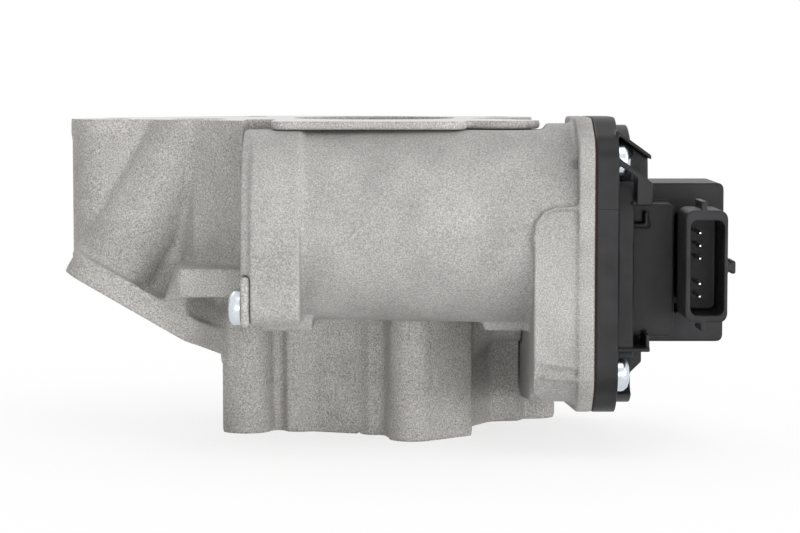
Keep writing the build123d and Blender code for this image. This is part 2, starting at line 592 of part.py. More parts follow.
def armature_winding():
    return [end_turns(CORE_X0, -1), end_turns(CORE_X1, 1)]


def commutator():
    drum = ring_x(COMMUTATOR_R, MOTOR_SHAFT_R, MOTOR_Y, MOTOR_Z, CORE_X1 + 6.4, CORE_X1 + 14.0)
    for i in range(SLOTS):
        groove = Rot(0, 0, i * 360 / SLOTS) * Pos(COMMUTATOR_R, 0) * Rectangle(1.4, 0.5)
        drum -= along_x(Pos(MOTOR_Y, MOTOR_Z) * groove, CORE_X1 + 6, CORE_X1 + 15)
    return drum


def beside_motor(side, near, far, x0, x1, half):
    """Block at one side of the motor's axis, between two distances from it."""
    a, b = sorted((MOTOR_Y + side * near, MOTOR_Y + side * far))
    return block(x0, x1, a, b, MOTOR_Z - half, MOTOR_Z + half)


def brushes():
    x0, x1 = CORE_X1 + 7.4, CORE_X1 + 12.6
    inner = COMMUTATOR_R + RUN_FIT * 2
    return [beside_motor(side, inner, BRUSH_REACH, x0, x1, BRUSH_HALF) for side in (-1, 1)]


def brush_plate():
    x0 = CORE_X1 + 6.0
    plate = ring_x(CAN_R - CAN_WALL - 0.1, 7.4, MOTOR_Y, MOTOR_Z, x0 + 7.6, x0 + 9.2)
    for side in (-1, 1):
        plate += beside_motor(side, 8.4, BRUSH_REACH + 1.5, x0 + 1.0, x0 + 7.8, BRUSH_HALF + 1.2)
        plate -= beside_motor(side, 8.0, BRUSH_REACH, x0 + 1.4, x0 + 6.6, BRUSH_HALF)
    return plate


def motor_shaft():
    return rod_x(MOTOR_SHAFT_R, MOTOR_Y, MOTOR_Z, CAN_X0 - 3.4, WHEEL_X + WHEEL_T + 0.6)


def motor_bearings():
    bore = MOTOR_SHAFT_R + RUN_FIT
    rear = ring_x(REAR_BEARING_R, bore, MOTOR_Y, MOTOR_Z, CAN_X0 - 3.4, CAN_X0 + 1.0)
    front = ring_x(FRONT_BEARING_R, bore, MOTOR_Y, MOTOR_Z, CAN_X1 - 2.0, CAN_X1 + CAP_T)
    return [rear, front]


# ---------------------------------------------------------------- gears
def motor_pinion():
    face = gear_face(PINION_TEETH, degrees(TO_IDLER))
    face -= Circle(MOTOR_SHAFT_R)
    return along_x(Pos(MOTOR_Y, MOTOR_Z) * face, WHEEL_X - 0.4, WHEEL_X + WHEEL_T + 0.4)


def intermediate_gear():
    gap = degrees(TO_IDLER) + 180 + 180 / WHEEL_TEETH
    wheel = along_x(Pos(IDLER_Y, IDLER_Z) * gear_face(WHEEL_TEETH, gap), WHEEL_X, WHEEL_X + WHEEL_T)
    wheel -= ring_x(18.2, 7.5, IDLER_Y, IDLER_Z, WHEEL_X + 2.2, WHEEL_X + WHEEL_T + 1)
    pinion = Pos(IDLER_Y, IDLER_Z) * gear_face(IDLER_TEETH, IDLER_TO_SHAFT)
    gear = wheel + along_x(pinion, SECTOR_X - 0.6, WHEEL_X + 0.2)
    return gear - rod_x(IDLER_PIN_R + RUN_FIT, IDLER_Y, IDLER_Z, CASE_X, RIM_X + 5)


def intermediate_pin():
    return rod_x(IDLER_PIN_R, IDLER_Y, IDLER_Z, CASE_X + 1, PLATEAU_X - 1.1)


def sector_gear():
    toward = IDLER_TO_SHAFT + 180
    step = 360 / SECTOR_TEETH
    before = round((FLAP_TRAVEL + SECTOR_MARGIN) / step)
    after = round(SECTOR_MARGIN / step)
    count = before + after
    first = toward + step / 2 - before * step
    teeth = gear_face(SECTOR_TEETH, first, count)
    root = gear_radius(SECTOR_TEETH) - DEDENDUM * MODULE
    a0, a1 = first - step / 2, first + (count - 0.5) * step
    centre_angle = radians((a0 + a1) / 2)
    half_angle = radians((a1 - a0) / 2)
    fan = make_face(Polyline([(0, 0)] + [
        (root * cos(centre_angle + half_angle * t), root * sin(centre_angle + half_angle * t))
        for t in [i / 12 - 1 for i in range(25)]], close=True))
    sector = along_x(Pos(SHAFT_Y, SHAFT_Z) * (teeth + fan + Circle(8.0)), SECTOR_X, SECTOR_X + SECTOR_T)
    window = Pos(SHAFT_Y + 12.2 * cos(centre_angle), SHAFT_Z + 12.2 * sin(centre_angle)) * Circle(3.2)
    sector -= along_x(window, SECTOR_X - 1, SECTOR_X + SECTOR_T + 1)
    return sector - rod_x(SHAFT_R, SHAFT_Y, SHAFT_Z, CASE_X, RIM_X)


# ---------------------------------------------------------------- output shaft and flap
def output_shaft():
    shaft = rod_x(SHAFT_R, SHAFT_Y, SHAFT_Z, SHAFT_END_X, SECTOR_X + SECTOR_T)
    beyond = SHAFT_R + 5
    shaft -= block(-THROAT_R, THROAT_R, -beyond, beyond, SHAFT_Z, SHAFT_Z + beyond)
    for x in (-FLAP_SCREW_X, FLAP_SCREW_X):
        shaft -= rod_z(M3_R, x, 0, SHAFT_Z - beyond, SHAFT_Z + beyond)
    return shaft


def flap_disc():
    disc = rod_z(FLAP_R, 0, 0, SHAFT_Z, SHAFT_Z + FLAP_T)
    for x in (-FLAP_SCREW_X, FLAP_SCREW_X):
        disc -= rod_z(M3_R + 0.1, x, 0, SHAFT_Z - 1, SHAFT_Z + FLAP_T + 1)
    return disc


def flap_screws():
    screws = []
    top = SHAFT_Z + FLAP_T
    for x in (-FLAP_SCREW_X, FLAP_SCREW_X):
        shank = rod_z(M3_R, x, 0, SHAFT_Z - 3.6, top)
        head = rod_z(M3_HEAD_R, x, 0, top, top + M3_HEAD_H)
        screws.append(shank + head)
    return screws


def shaft_ring(span):
    """Ring that the output shaft turns in, between two places along X."""
    return ring_x(SHAFT_R + BUSH_T, SHAFT_R + RUN_FIT, SHAFT_Y, SHAFT_Z, *span)


def far_bush():
    return shaft_ring(FAR_BUSH_X)


def near_bush():
    return shaft_ring(NEAR_BUSH_X)


def shaft_seal():
    return shaft_ring(SEAL_X)


def shaft_bearing():
    return shaft_ring(BEARING_X)


def end_plug():
    return rod_x(SHAFT_R + BUSH_T, SHAFT_Y, SHAFT_Z, *PLUG_X)


def neck_o_ring():
    return Pos(CASE_X + 0.9, SHAFT_Y, SHAFT_Z) * Rot(0, 90, 0) * Torus(O_RING_R, O_RING_T)


def return_spring():
    x0 = CASE_X + CASE_FLOOR + 0.9
    path = Helix(pitch=SPRING_PITCH, height=SPRING_PITCH * SPRING_TURNS, radius=SPRING_R)
    section = Plane(origin=path @ 0, z_dir=path % 0) * Circle(SPRING_WIRE)
    spring = sweep(section, path=path)
    return Pos(x0, SHAFT_Y, SHAFT_Z) * Rot(0, 90, 0) * spring


def position_magnet():
    x0 = SECTOR_X + SECTOR_T
    return ring_x(POLE_R_OUT, POLE_R_IN, SHAFT_Y, SHAFT_Z, x0, x0 + 1.0)


def sensor_board():
    x1 = PLATEAU_X - COVER_WALL
    return block(x1 - BOARD_T, x1, SHAFT_Y + 3.0, SHAFT_Y + 17.0, SHAFT_Z - 9.0, SHAFT_Z + 9.0)


PARTS = {
    "valve_body": valve_body,
    "actuator_housing": actuator_housing,
    "gear_cover": gear_cover,
    "connector_pins": connector_pins,
    "cover_gasket": cover_gasket,
    "cover_screws": cover_screws,
    "housing_screws": housing_screws,
    "motor_can": motor_can,
    "motor_end_cap": motor_end_cap,
    "motor_magnets": motor_magnets,
    "motor_bearings": motor_bearings,
    "brush_plate": brush_plate,
    "brushes": brushes,
    "motor_shaft": motor_shaft,
    "armature_core": armature_core,
    "armature_winding": armature_winding,
    "commutator": commutator,
    "motor_pinion": motor_pinion,
    "intermediate_gear": intermediate_gear,
    "intermediate_pin": intermediate_pin,
    "sector_gear": sector_gear,
    "output_shaft": output_shaft,
    "flap_disc": flap_disc,
    "flap_screws": flap_screws,
    "far_bush": far_bush,
    "near_bush": near_bush,
    "shaft_seal": shaft_seal,
    "shaft_bearing": shaft_bearing,
    "end_plug": end_plug,
    "neck_o_ring": neck_o_ring,
    "return_spring": return_spring,
    "position_magnet": position_magnet,
    "sensor_board": sensor_board,
}

for name, make in PARTS.items():
    shape = make()
    if isinstance(shape, (list, ShapeList)):
        shape = Compound(children=list(shape))
    export_step(shape, f"parts/{name}.step")
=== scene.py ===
import json
import math

import bmesh
import bpy
import numpy as np
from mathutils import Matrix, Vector

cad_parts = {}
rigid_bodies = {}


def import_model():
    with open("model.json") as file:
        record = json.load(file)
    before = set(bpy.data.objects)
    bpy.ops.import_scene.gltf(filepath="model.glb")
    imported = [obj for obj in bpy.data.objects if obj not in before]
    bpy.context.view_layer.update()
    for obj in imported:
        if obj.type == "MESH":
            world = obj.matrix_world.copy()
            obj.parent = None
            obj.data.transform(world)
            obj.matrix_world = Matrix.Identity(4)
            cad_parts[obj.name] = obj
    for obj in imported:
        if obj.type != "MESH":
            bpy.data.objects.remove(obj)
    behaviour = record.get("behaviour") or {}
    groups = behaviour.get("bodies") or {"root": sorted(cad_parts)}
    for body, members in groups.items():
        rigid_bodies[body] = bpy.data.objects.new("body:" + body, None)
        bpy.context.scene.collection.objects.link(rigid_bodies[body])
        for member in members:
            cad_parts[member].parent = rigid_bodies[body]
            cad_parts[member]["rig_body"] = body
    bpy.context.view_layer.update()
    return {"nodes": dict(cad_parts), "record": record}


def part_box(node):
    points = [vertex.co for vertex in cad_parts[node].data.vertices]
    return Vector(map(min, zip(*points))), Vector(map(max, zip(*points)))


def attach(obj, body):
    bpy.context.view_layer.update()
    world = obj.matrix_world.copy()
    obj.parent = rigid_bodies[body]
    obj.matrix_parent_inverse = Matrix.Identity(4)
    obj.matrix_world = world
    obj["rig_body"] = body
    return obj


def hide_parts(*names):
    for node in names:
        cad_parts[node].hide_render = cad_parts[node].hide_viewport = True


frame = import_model()

MM = 0.001

# Camera for an 800 x 533 picture: focal length and horizon row in pixels, eye in mm
PICTURE_W, PICTURE_H = 800, 533
FOCAL_PX = 2508.0
HORIZON_ROW = 70.0
EYE = (7.0, -690.0, 13.1)
SENSOR = 36.0
CLIP_NEAR, CLIP_FAR = 0.05, 20.0

# Studio lamps: name, place and size in metres, power in watts
LAMPS = [("key", (0.32, -0.62, 1.00), (0.9, 0.7), 3.2), ("side", (1.0, -0.45, 0.25), (0.5, 0.7), 1.3),
         ("low", (0.22, -0.55, -0.055), (1.1, 0.05), 1.9), ("rim", (-0.45, 0.60, 0.55), (0.5, 0.5), 1.6)]
LAMP_AIM = (0.0, -0.02, -0.04)

# World light that comes from -X and from +X
AMBIENT_LEFT, AMBIENT_RIGHT = 0.14, 1.34

# Floor: half its width in metres and its gap under the base in mm. Its shadow fades into the backdrop
# between SHADOW_NEAR and SHADOW_FAR metres from the middle, where SHADOW_GLOW of the backdrop shows first
FLOOR_HALF, FLOOR_GAP = 3.0, 0.05
SHADOW_NEAR, SHADOW_FAR, SHADOW_GLOW = 0.06, 0.26, 0.72

# Machined planes in mm: a point on each and its outward normal
TOP_Z, BASE_Z = 0.0, -85.0
TILT = math.radians(30.0)
PIPE_DROP = 52.0
TOP_FACE = ((0, 0, TOP_Z), (0, 0, 1))
BASE_FACE = ((0, 0, BASE_Z), (0, 0, -1))
PIPE_FACE = ((-46.5 - PIPE_DROP * math.sin(TILT), -17.0, -PIPE_DROP * math.cos(TILT)),
             (-math.sin(TILT), 0.0, -math.cos(TILT)))
COLUMN_SIDE = ((40.2, 20.0, -65.0), (1, 0, 0))
COVER_JOINT = ((55.5, 0, 0), (1, 0, 0))
CASE_BACK = ((40.5, 0, -60.0), (-1, 0, 0))
COVER_SEAT = ((55.9, 0, 0), (-1, 0, 0))

# How far from its plane, in mm, a surface still belongs to a face
HOLD_REACH, SEAT_REACH = 0.35, 0.3
BODY_SNAP, HOUSING_SNAP = 0.5, 0.4
FACE_RADIUS = 0.12                   # metres from the plane's point to which a face extends
RIM_LEAN, FACE_LEAN = 0.35, 0.9      # least cosine to the plane's normal, on its rim and on its faces

# Skins: smoothing and the share of faces that thinning keeps
SMOOTH_PASSES, SMOOTH_PULL = 2, 0.6
KEPT_FACES = 0.5

# Root that carries the curved rib of the pipe flange into the bar, as hull points in mm
BAR_ROOT = [(-50.2, -44.6, -38.6), (-50.2, -44.6, -45.2), (-50.2, -24.0, -38.2), (-50.2, -24.0, -47.0),
            (-54.6, -38.0, -46.9), (-52.4, -34.0, -38.8), (-54.6, -24.0, -47.6), (-51.8, -26.0, -37.0),
            (-46.0, -44.8, -38.4), (-46.0, -44.8, -45.4)]

# Web behind the foot, and the fill between the body's bracket and the gear case: (X, Z) outline and Y range
FOOT_WEB = ([(37.0, -62.0), (45.6, -79.0), (37.0, -79.0)], 20.8, 25.0)
BRACKET_FILL = ([(36.0, -50.0), (40.4, -50.0), (40.4, -79.0), (36.0, -79.0)], 7.6, 20.0)

# Raised lines on the actuator housing: radius in mm and points along each
HOUSING_EDGES = [
    # flash round the front of the gear case
    (0.45, [(51.4, -66.8, -21.0), (45.6, -66.8, -21.2), (43.0, -66.8, -22.4), (41.0, -66.8, -25.4),
            (40.3, -66.8, -28.4), (40.5, -66.8, -36.0), (40.6, -66.8, -66.0), (41.2, -66.8, -68.6)]),
    # upper and lower edge of the pad at its foot
    (0.5, [(41.3, -66.8, -59.4), (46.0, -66.9, -60.6), (51.6, -66.9, -60.8)]),
    (0.45, [(42.6, -66.9, -64.0), (51.4, -66.9, -64.2)]),
    # ridge and seam of the closed motor end
    (0.55, [(-30.3, -66.2, -28.2), (-24.0, -66.3, -27.7), (-18.2, -66.1, -27.6)]),
    (0.4, [(-30.4, -66.2, -38.2), (-30.4, -62.5, -20.0), (-30.4, -56.0, -7.4)]),
]

# Parting line across the edge of the cover
PARTING_LINE = [(56.0, -67.8, -21.4), (61.4, -67.8, -21.4), (61.5, -64.4, -21.4), (65.3, -64.4, -21.4)]
PARTING_RADIUS = 0.10

# Screws: centre of the head's underside, the way the tip points along X, and the length, in mm
COVER_SCREWS = [((61.5, y, z), -1, 9.8)
                for y, z in ((-61.0, -9.3), (-61.0, -63.2), (-14.0, -6.0), (16.0, -70.8), (24.0, -38.0))]
HOUSING_SCREWS = [((-33.0, -61.0, -46.5), 1, 11.5), ((44.5, 2.0, -37.4), -1, 13.0),
                  ((44.5, 14.2, -55.8), -1, 13.0)]
SHANK_R = 2.5
TIP_LENGTH, TIP_CUT = 0.4, 0.35
SCREW_SIDES = 72
CREASE_DEGREES = 35

# Pan head, height and radius; six-lobed recess, height, middle radius and half the lobes' depth
SCREW_HEAD = [(0.0, 4.45), (0.12, 4.6), (1.15, 4.6), (1.75, 4.5), (2.3, 4.15), (2.75, 3.55), (3.05, 2.8),
              (3.18, 2.05)]
RECESS = [(3.22, 1.74, 0.30), (3.1, 1.62, 0.30), (1.5, 1.62, 0.30), (1.3, 0.972, 0.18)]
LOBES = 6

# Connector pins: middle of the socket, pitch, rows that hold a pin, then Y and half width along a pin
SOCKET_Z, PIN_PITCH, PIN_X = -35.0, 3.15, 81.3
PIN_ROWS = (2.5, 1.5, 0.5, -1.5, -2.5)
PIN_PROFILE = ((-60.0, 0.4), (-70.1, 0.4), (-71.0, 0.17))


# ------------------------------------------------------------------ node helpers
def new_material(name):
    mat = bpy.data.materials.new(name)
    mat.use_nodes = True
    mat.node_tree.nodes.clear()
    out = add(mat, "ShaderNodeOutputMaterial")
    shader = add(mat, "ShaderNodeBsdfPrincipled")
    link(mat, shader.outputs["BSDF"], out.inputs["Surface"])
    return mat, shader


def add(owner, kind, **values):
    """New node in a material or world; values are its settings or, with _ for a space, its inputs."""
    node = owner.node_tree.nodes.new(kind)
    for key, value in values.items():
        if hasattr(node, key):
            setattr(node, key, value)
        else:
            node.inputs[key.replace("_", " ")].default_value = value
    return node


def link(owner, source, target):
    owner.node_tree.links.new(source, target)


def millimetres(mat):
    """Object coordinates in millimetres."""
    coords = add(mat, "ShaderNodeTexCoord")
    scale = add(mat, "ShaderNodeVectorMath", operation="SCALE")
    scale.inputs["Scale"].default_value = 1 / MM
    link(mat, coords.outputs["Object"], scale.inputs[0])
    return scale.outputs[0]


def noise(mat, vector, per_mm, detail=3.0, rough=0.5):
    node = add(mat, "ShaderNodeTexNoise", Scale=per_mm, Detail=detail, Roughness=rough)
    link(mat, vector, node.inputs["Vector"])
    return node.outputs["Fac"]


def ramp(mat, fac, stops):
    """Colour ramp through (place, colour) stops."""
    node = add(mat, "ShaderNodeValToRGB")
    band = node.color_ramp
    while len(band.elements) < len(stops):
        band.elements.new(0.5)
    for element, (place, colour) in zip(band.elements, stops):
        element.position = place
        element.color = (*colour, 1.0)
    link(mat, fac, node.inputs["Fac"])
    return node.outputs["Color"]


def vary_roughness(mat, shader, fac, low, high):
    """Roughness that runs from low to high with the texture."""
    link(mat, ramp(mat, fac, [(0.3, (low,) * 3), (0.7, (high,) * 3)]), shader.inputs["Roughness"])


def multiply(mat, a, b):
    node = add(mat, "ShaderNodeMix", data_type="RGBA", blend_type="MULTIPLY")
    node.inputs[0].default_value = 1.0
    link(mat, a, node.inputs[6])
    link(mat, b, node.inputs[7])
    return node.outputs[2]


def bump(mat, shader, layers):
    """Chain bump layers of (height, strength, distance in mm) into the shader's normal."""
    previous = None
    for height, strength, distance in layers:
        node = add(mat, "ShaderNodeBump", Strength=strength, Distance=distance * MM)
        link(mat, height, node.inputs["Height"])
        if previous:
            link(mat, previous, node.inputs["Normal"])
        previous = node.outputs["Normal"]
    link(mat, previous, shader.inputs["Normal"])


# ------------------------------------------------------------------ materials
def cast_metal(name, dark, mid, light, grain, depth, rough, metal):
    """Cast aluminium: fine grain, paler crests, faint cloudy patches."""
    mat, shader = new_material(name)
    place = millimetres(mat)
    fine = noise(mat, place, grain, 4.0, 0.62)
    medium = noise(mat, place, grain * 0.38, 3.0, 0.55)
    cloud = noise(mat, place, 0.055, 3.0, 0.6)
    speckle = ramp(mat, fine, [(0.30, dark), (0.50, mid), (0.70, light)])
    patch = ramp(mat, cloud, [(0.35, (0.86, 0.85, 0.84)), (0.65, (1.06, 1.05, 1.04))])
    link(mat, multiply(mat, speckle, patch), shader.inputs["Base Color"])
    shader.inputs["Metallic"].default_value = metal
    shader.inputs["Specular IOR Level"].default_value = 0.35
    vary_roughness(mat, shader, medium, rough - 0.08, rough + 0.10)
    bump(mat, shader, [(medium, 0.55, depth * 1.6), (fine, 0.75, depth)])
    return mat


def bare_metal(name, place_scale, dull, colour, rough, spread, metal, texture):
    """Metal with a cloudy tint, its own tool marks and a roughness that follows the clouds."""
    mat, shader = new_material(name)
    place = millimetres(mat)
    heights = texture(mat, place)
    cloud = noise(mat, place, place_scale, 3.0)
    tint = ramp(mat, cloud, [(0.3, tuple(dull * c for c in colour)), (0.7, colour)])
    link(mat, tint, shader.inputs["Base Color"])
    shader.inputs["Metallic"].default_value = metal
    vary_roughness(mat, shader, cloud, rough, rough + spread)
    bump(mat, shader, heights)
    return mat


def tool_lines(mat, place):
    """Fine straight lines from turning or milling."""
    lines = add(mat, "ShaderNodeTexWave", Scale=2.4, Distortion=1.2, Detail=2.0)
    link(mat, place, lines.inputs["Vector"])
    return [(lines.outputs["Fac"], 0.12, 0.02)]


def mill_arcs(mat, place):
    """Wide arcs from a face mill, over a fine grain."""
    arcs = add(mat, "ShaderNodeTexWave", Scale=0.55, Distortion=0.6, Detail=1.0, wave_type="RINGS")
    shift = add(mat, "ShaderNodeVectorMath", operation="ADD")
    shift.inputs[1].default_value = (90.0, 140.0, 0.0)
    link(mat, place, shift.inputs[0])
    link(mat, shift.outputs[0], arcs.inputs["Vector"])
    return [(arcs.outputs["Fac"], 0.10, 0.02), (noise(mat, place, 3.0, 2.0), 0.10, 0.02)]


def machined_metal(name, colour, rough):
    """Turned or milled metal with faint tool lines."""
    return bare_metal(name, 0.35, 0.86, colour, rough, 0.12, 1.0, tool_lines)


def milled_face(name, colour, rough):
    """Gasket face: faint arcs and a little staining."""
    return bare_metal(name, 0.06, 0.90, colour, rough, 0.10, 0.90, mill_arcs)


def moulded_plastic(name, dark, light, rough, depth):
    """Moulded plastic or rubber with an eroded-tool grain."""
    mat, shader = new_material(name)
    place = millimetres(mat)
    grain = noise(mat, place, 3.4, 3.0, 0.6)
    cloud = noise(mat, place, 0.12, 2.0)
    tint = ramp(mat, cloud, [(0.3, dark), (0.75, light)])
    link(mat, tint, shader.inputs["Base Color"])
    vary_roughness(mat, shader, grain, rough - 0.06, rough + 0.08)
    shader.inputs["Specular IOR Level"].default_value = 0.22
    bump(mat, shader, [(grain, 0.5, depth)])
    return mat


def zinc_plate(name):
    """Bright zinc plating: smooth and slightly blue, with soft cloudy patches."""
    mat, shader = new_material(name)
    place = millimetres(mat)
    cloud = noise(mat, place, 0.30, 2.0)
    tint = ramp(mat, cloud, [(0.3, (0.56, 0.61, 0.67)), (0.7, (0.74, 0.78, 0.82))])
    link(mat, tint, shader.inputs["Base Color"])
    shader.inputs["Metallic"].default_value = 1.0
    vary_roughness(mat, shader, cloud, 0.20, 0.30)
    bump(mat, shader, [(noise(mat, place, 5.0, 2.0), 0.05, 0.02)])
    return mat


MATERIALS = {
    "cast_body": cast_metal("cast_body", dark=(0.21, 0.203, 0.193), mid=(0.43, 0.421, 0.408),
                            light=(0.70, 0.69, 0.672), grain=2.6, depth=0.24, rough=0.60, metal=0.15),
    "die_cast": cast_metal("die_cast", dark=(0.22, 0.216, 0.209), mid=(0.36, 0.355, 0.347),
                           light=(0.53, 0.524, 0.515), grain=2.7, depth=0.12, rough=0.55, metal=0.20),
    "machined_face": milled_face("machined_face", (0.62, 0.62, 0.615), 0.30),
    "cover_plastic": moulded_plastic("cover_plastic", (0.010, 0.010, 0.011), (0.021, 0.021, 0.023), 0.42,
                                     0.05),
    "zinc_steel": zinc_plate("zinc_steel"),
    "steel": machined_metal("steel", (0.62, 0.62, 0.63), 0.28),
    "can_steel": machined_metal("can_steel", (0.55, 0.55, 0.56), 0.35),
    "gasket_rubber": moulded_plastic("gasket_rubber", (0.030, 0.012, 0.008), (0.055, 0.022, 0.015), 0.7,
                                     0.04),
    "seal_rubber": moulded_plastic("seal_rubber", (0.01, 0.01, 0.01), (0.02, 0.02, 0.02), 0.6, 0.03),
    "bronze": machined_metal("bronze", (0.55, 0.36, 0.17), 0.42),
    "copper": machined_metal("copper", (0.70, 0.30, 0.16), 0.30),
    "pin_tin": machined_metal("pin_tin", (0.72, 0.71, 0.68), 0.24),
    "magnet": moulded_plastic("magnet", (0.05, 0.05, 0.055), (0.09, 0.09, 0.095), 0.55, 0.05),
    "carbon": moulded_plastic("carbon", (0.02, 0.02, 0.02), (0.04, 0.04, 0.04), 0.7, 0.05),
    "gear_plastic": moulded_plastic("gear_plastic", (0.52, 0.50, 0.43), (0.66, 0.63, 0.55), 0.42, 0.03),
    "board_green": moulded_plastic("board_green", (0.02, 0.12, 0.05), (0.03, 0.18, 0.08), 0.35, 0.02),
}


# ------------------------------------------------------------------ mesh helpers
def read(items, field, width=1, kind=float):
    """A field of every vertex, edge, face or corner as one array, a row each where it has width."""
    flat = np.empty(len(items) * width, dtype=kind)
    items.foreach_get(field, flat)
    return flat.reshape(-1, width) if width > 1 else flat


def write_coordinates(mesh, places):
    mesh.vertices.foreach_set("co", places.ravel())
    mesh.update()


def apply_modifier(piece, kind, **settings):
    modifier = piece.modifiers.new("shape", kind)
    for key, value in settings.items():
        setattr(modifier, key, value)
    graph = bpy.context.evaluated_depsgraph_get()
    mesh = bpy.data.meshes.new_from_object(piece.evaluated_get(graph))
    piece.modifiers.clear()
    piece.data = mesh


def remesh(piece, voxel):
    """Rebuild the piece's mesh as an even grid of quads, which also joins what overlaps."""
    apply_modifier(piece, "REMESH", mode="VOXEL", voxel_size=voxel * MM)


def swell(piece, distance):
    """Move every vertex along its normal."""
    mesh = piece.data
    normals = read(mesh.vertices, "normal", 3)
    write_coordinates(mesh, read(mesh.vertices, "co", 3) + normals * distance * MM)


def from_plane(places, point, normal):
    """Distance of each place above a plane, with the plane's unit normal and its point in metres."""
    normal = np.array(normal) / np.linalg.norm(normal)
    point = np.array(point) * MM
    return (places - point) @ normal, normal, point


def relax(piece, holds):
    """Smooth the mesh; holds are (point, normal, reach) planes in mm that keep their level."""
    mesh = piece.data
    places = read(mesh.vertices, "co", 3)
    a, b = read(mesh.edges, "vertices", 2, np.int64).T
    count = len(places)
    degree = np.maximum(np.bincount(np.concatenate([a, b]), minlength=count), 1)
    flats = []
    for point, normal, reach in holds:
        level, normal, point = from_plane(places, point, normal)
        spread = np.linalg.norm(places - point, axis=1)
        flats.append(((np.abs(level) < reach * MM) & (spread < FACE_RADIUS), normal, point))
    for _ in range(SMOOTH_PASSES):
        total = np.empty_like(places)
        for axis in range(3):
            total[:, axis] = (np.bincount(a, places[b, axis], count)
                              + np.bincount(b, places[a, axis], count))
        places = places + SMOOTH_PULL * (total / degree[:, None] - places)
        for near, normal, point in flats:
            off = (places[near] - point) @ normal
            places[near] -= off[:, None] * normal
    write_coordinates(mesh, places)


def smooth_faces(piece):
    mesh = piece.data
    mesh.polygons.foreach_set("use_smooth", np.ones(len(mesh.polygons), dtype=bool))
    mesh.update()


def snap(piece, planes):
    """Press each machined face flat onto its (point, normal, reach) plane and give it its own finish."""
    mesh = piece.data
    places = read(mesh.vertices, "co", 3)
    outward = read(mesh.vertices, "normal", 3)
    faces = []
    for point, normal, reach in planes:
        level, normal, point = from_plane(places, point, normal)
        near = (np.abs(level) < reach * MM) & (outward @ normal > RIM_LEAN)
        places[near] -= level[near][:, None] * normal
        faces.append((near, normal))
    write_coordinates(mesh, places)
    facing = read(mesh.polygons, "normal", 3)
    start = read(mesh.polygons, "loop_start", kind=np.int64)
    total = read(mesh.polygons, "loop_total", kind=np.int64)
    corner = read(mesh.loops, "vertex_index", kind=np.int64)
    machined = np.zeros(len(mesh.polygons), dtype=np.int32)
    for near, normal in faces:
        count = np.add.reduceat(near[corner].astype(np.int64), start)
        machined[(count == total) & (facing @ normal > FACE_LEAN)] = 1
    mesh.polygons.foreach_set("material_index", machined)
    mesh.polygons.foreach_set("use_smooth", machined == 0)
    mesh.update()


def bmesh_to_mesh(work, name):
    mesh = bpy.data.meshes.new(name)
    work.to_mesh(mesh)
    work.free()
    return mesh


def join_meshes(name, meshes):
    whole = bmesh.new()
    for mesh in meshes:
        whole.from_mesh(mesh)
    return bmesh_to_mesh(whole, name)


def hull_mesh(points):
    """Closed convex solid round points given in mm."""
    work = bmesh.new()
    for place in points:
        work.verts.new(Vector(place) * MM)
    made = bmesh.ops.convex_hull(work, input=work.verts)
    bmesh.ops.delete(work, geom=made["geom_interior"], context="VERTS")
    return bmesh_to_mesh(work, "hull")


def prism(outline, y0, y1):
    """Convex plate of an (X, Z) outline between two Y levels."""
    return hull_mesh([(x, y, z) for x, z in outline for y in (y0, y1)])


def rod_mesh(start, end, radius, sides=10):
    """Straight round rod between two points in mm."""
    start, end = Vector(start), Vector(end)
    along = (end - start).normalized()
    across = along.orthogonal().normalized()
    beside = along.cross(across)
    return hull_mesh([place + (across * math.cos(t) + beside * math.sin(t)) * radius
                      for place in (start, end) for t in (2 * math.pi * i / sides for i in range(sides))])


def sharp_shading(piece, degrees):
    """Smooth the faces, but keep edges sharper than the angle."""
    work = bmesh.new()
    work.from_mesh(piece.data)
    for face in work.faces:
        face.smooth = True
    for edge in work.edges:
        edge.smooth = not (edge.is_manifold and edge.calc_face_angle(0) > math.radians(degrees))
    work.to_mesh(piece.data)
    work.free()


# ------------------------------------------------------------------ the part
def link_piece(name, mesh, material, body):
    """New piece that rides on a body and takes a slot's finish."""
    piece = bpy.data.objects.new(name, mesh)
    bpy.context.scene.collection.objects.link(piece)
    mesh.materials.clear()
    mesh.materials.append(MATERIALS[material])
    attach(piece, body)
    return piece


def dress_cad_nodes():
    slots = {s["node"]: s["material_slot"] for s in frame["record"]["subparts"]}
    for name, obj in frame["nodes"].items():
        obj.data.materials.clear()
        obj.data.materials.append(MATERIALS[slots[name]])


def skin(node, material, voxel, fill, holds, planes=(), extras=()):
    """A cast or moulded surface over a CAD node: inner corners filled, edges rounded."""
    body = frame["nodes"][node]["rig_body"]
    shape = join_meshes(f"{node}_skin", [frame["nodes"][node].data, *extras])
    piece = link_piece(f"{node}_skin", shape, material, body)
    remesh(piece, voxel)
    if fill:
        swell(piece, fill)
        remesh(piece, voxel)
        swell(piece, -fill)
        remesh(piece, voxel)
    relax(piece, holds)
    apply_modifier(piece, "DECIMATE", ratio=KEPT_FACES)
    smooth_faces(piece)
    piece.data.materials.clear()
    piece.data.materials.append(MATERIALS[material])
    if planes:
        piece.data.materials.append(MATERIALS["machined_face"])
        snap(piece, planes)
    low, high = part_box(node)
    inside = np.clip(read(piece.data.vertices, "co", 3), np.array(low), np.array(high))
    write_coordinates(piece.data, inside)
    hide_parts(node)


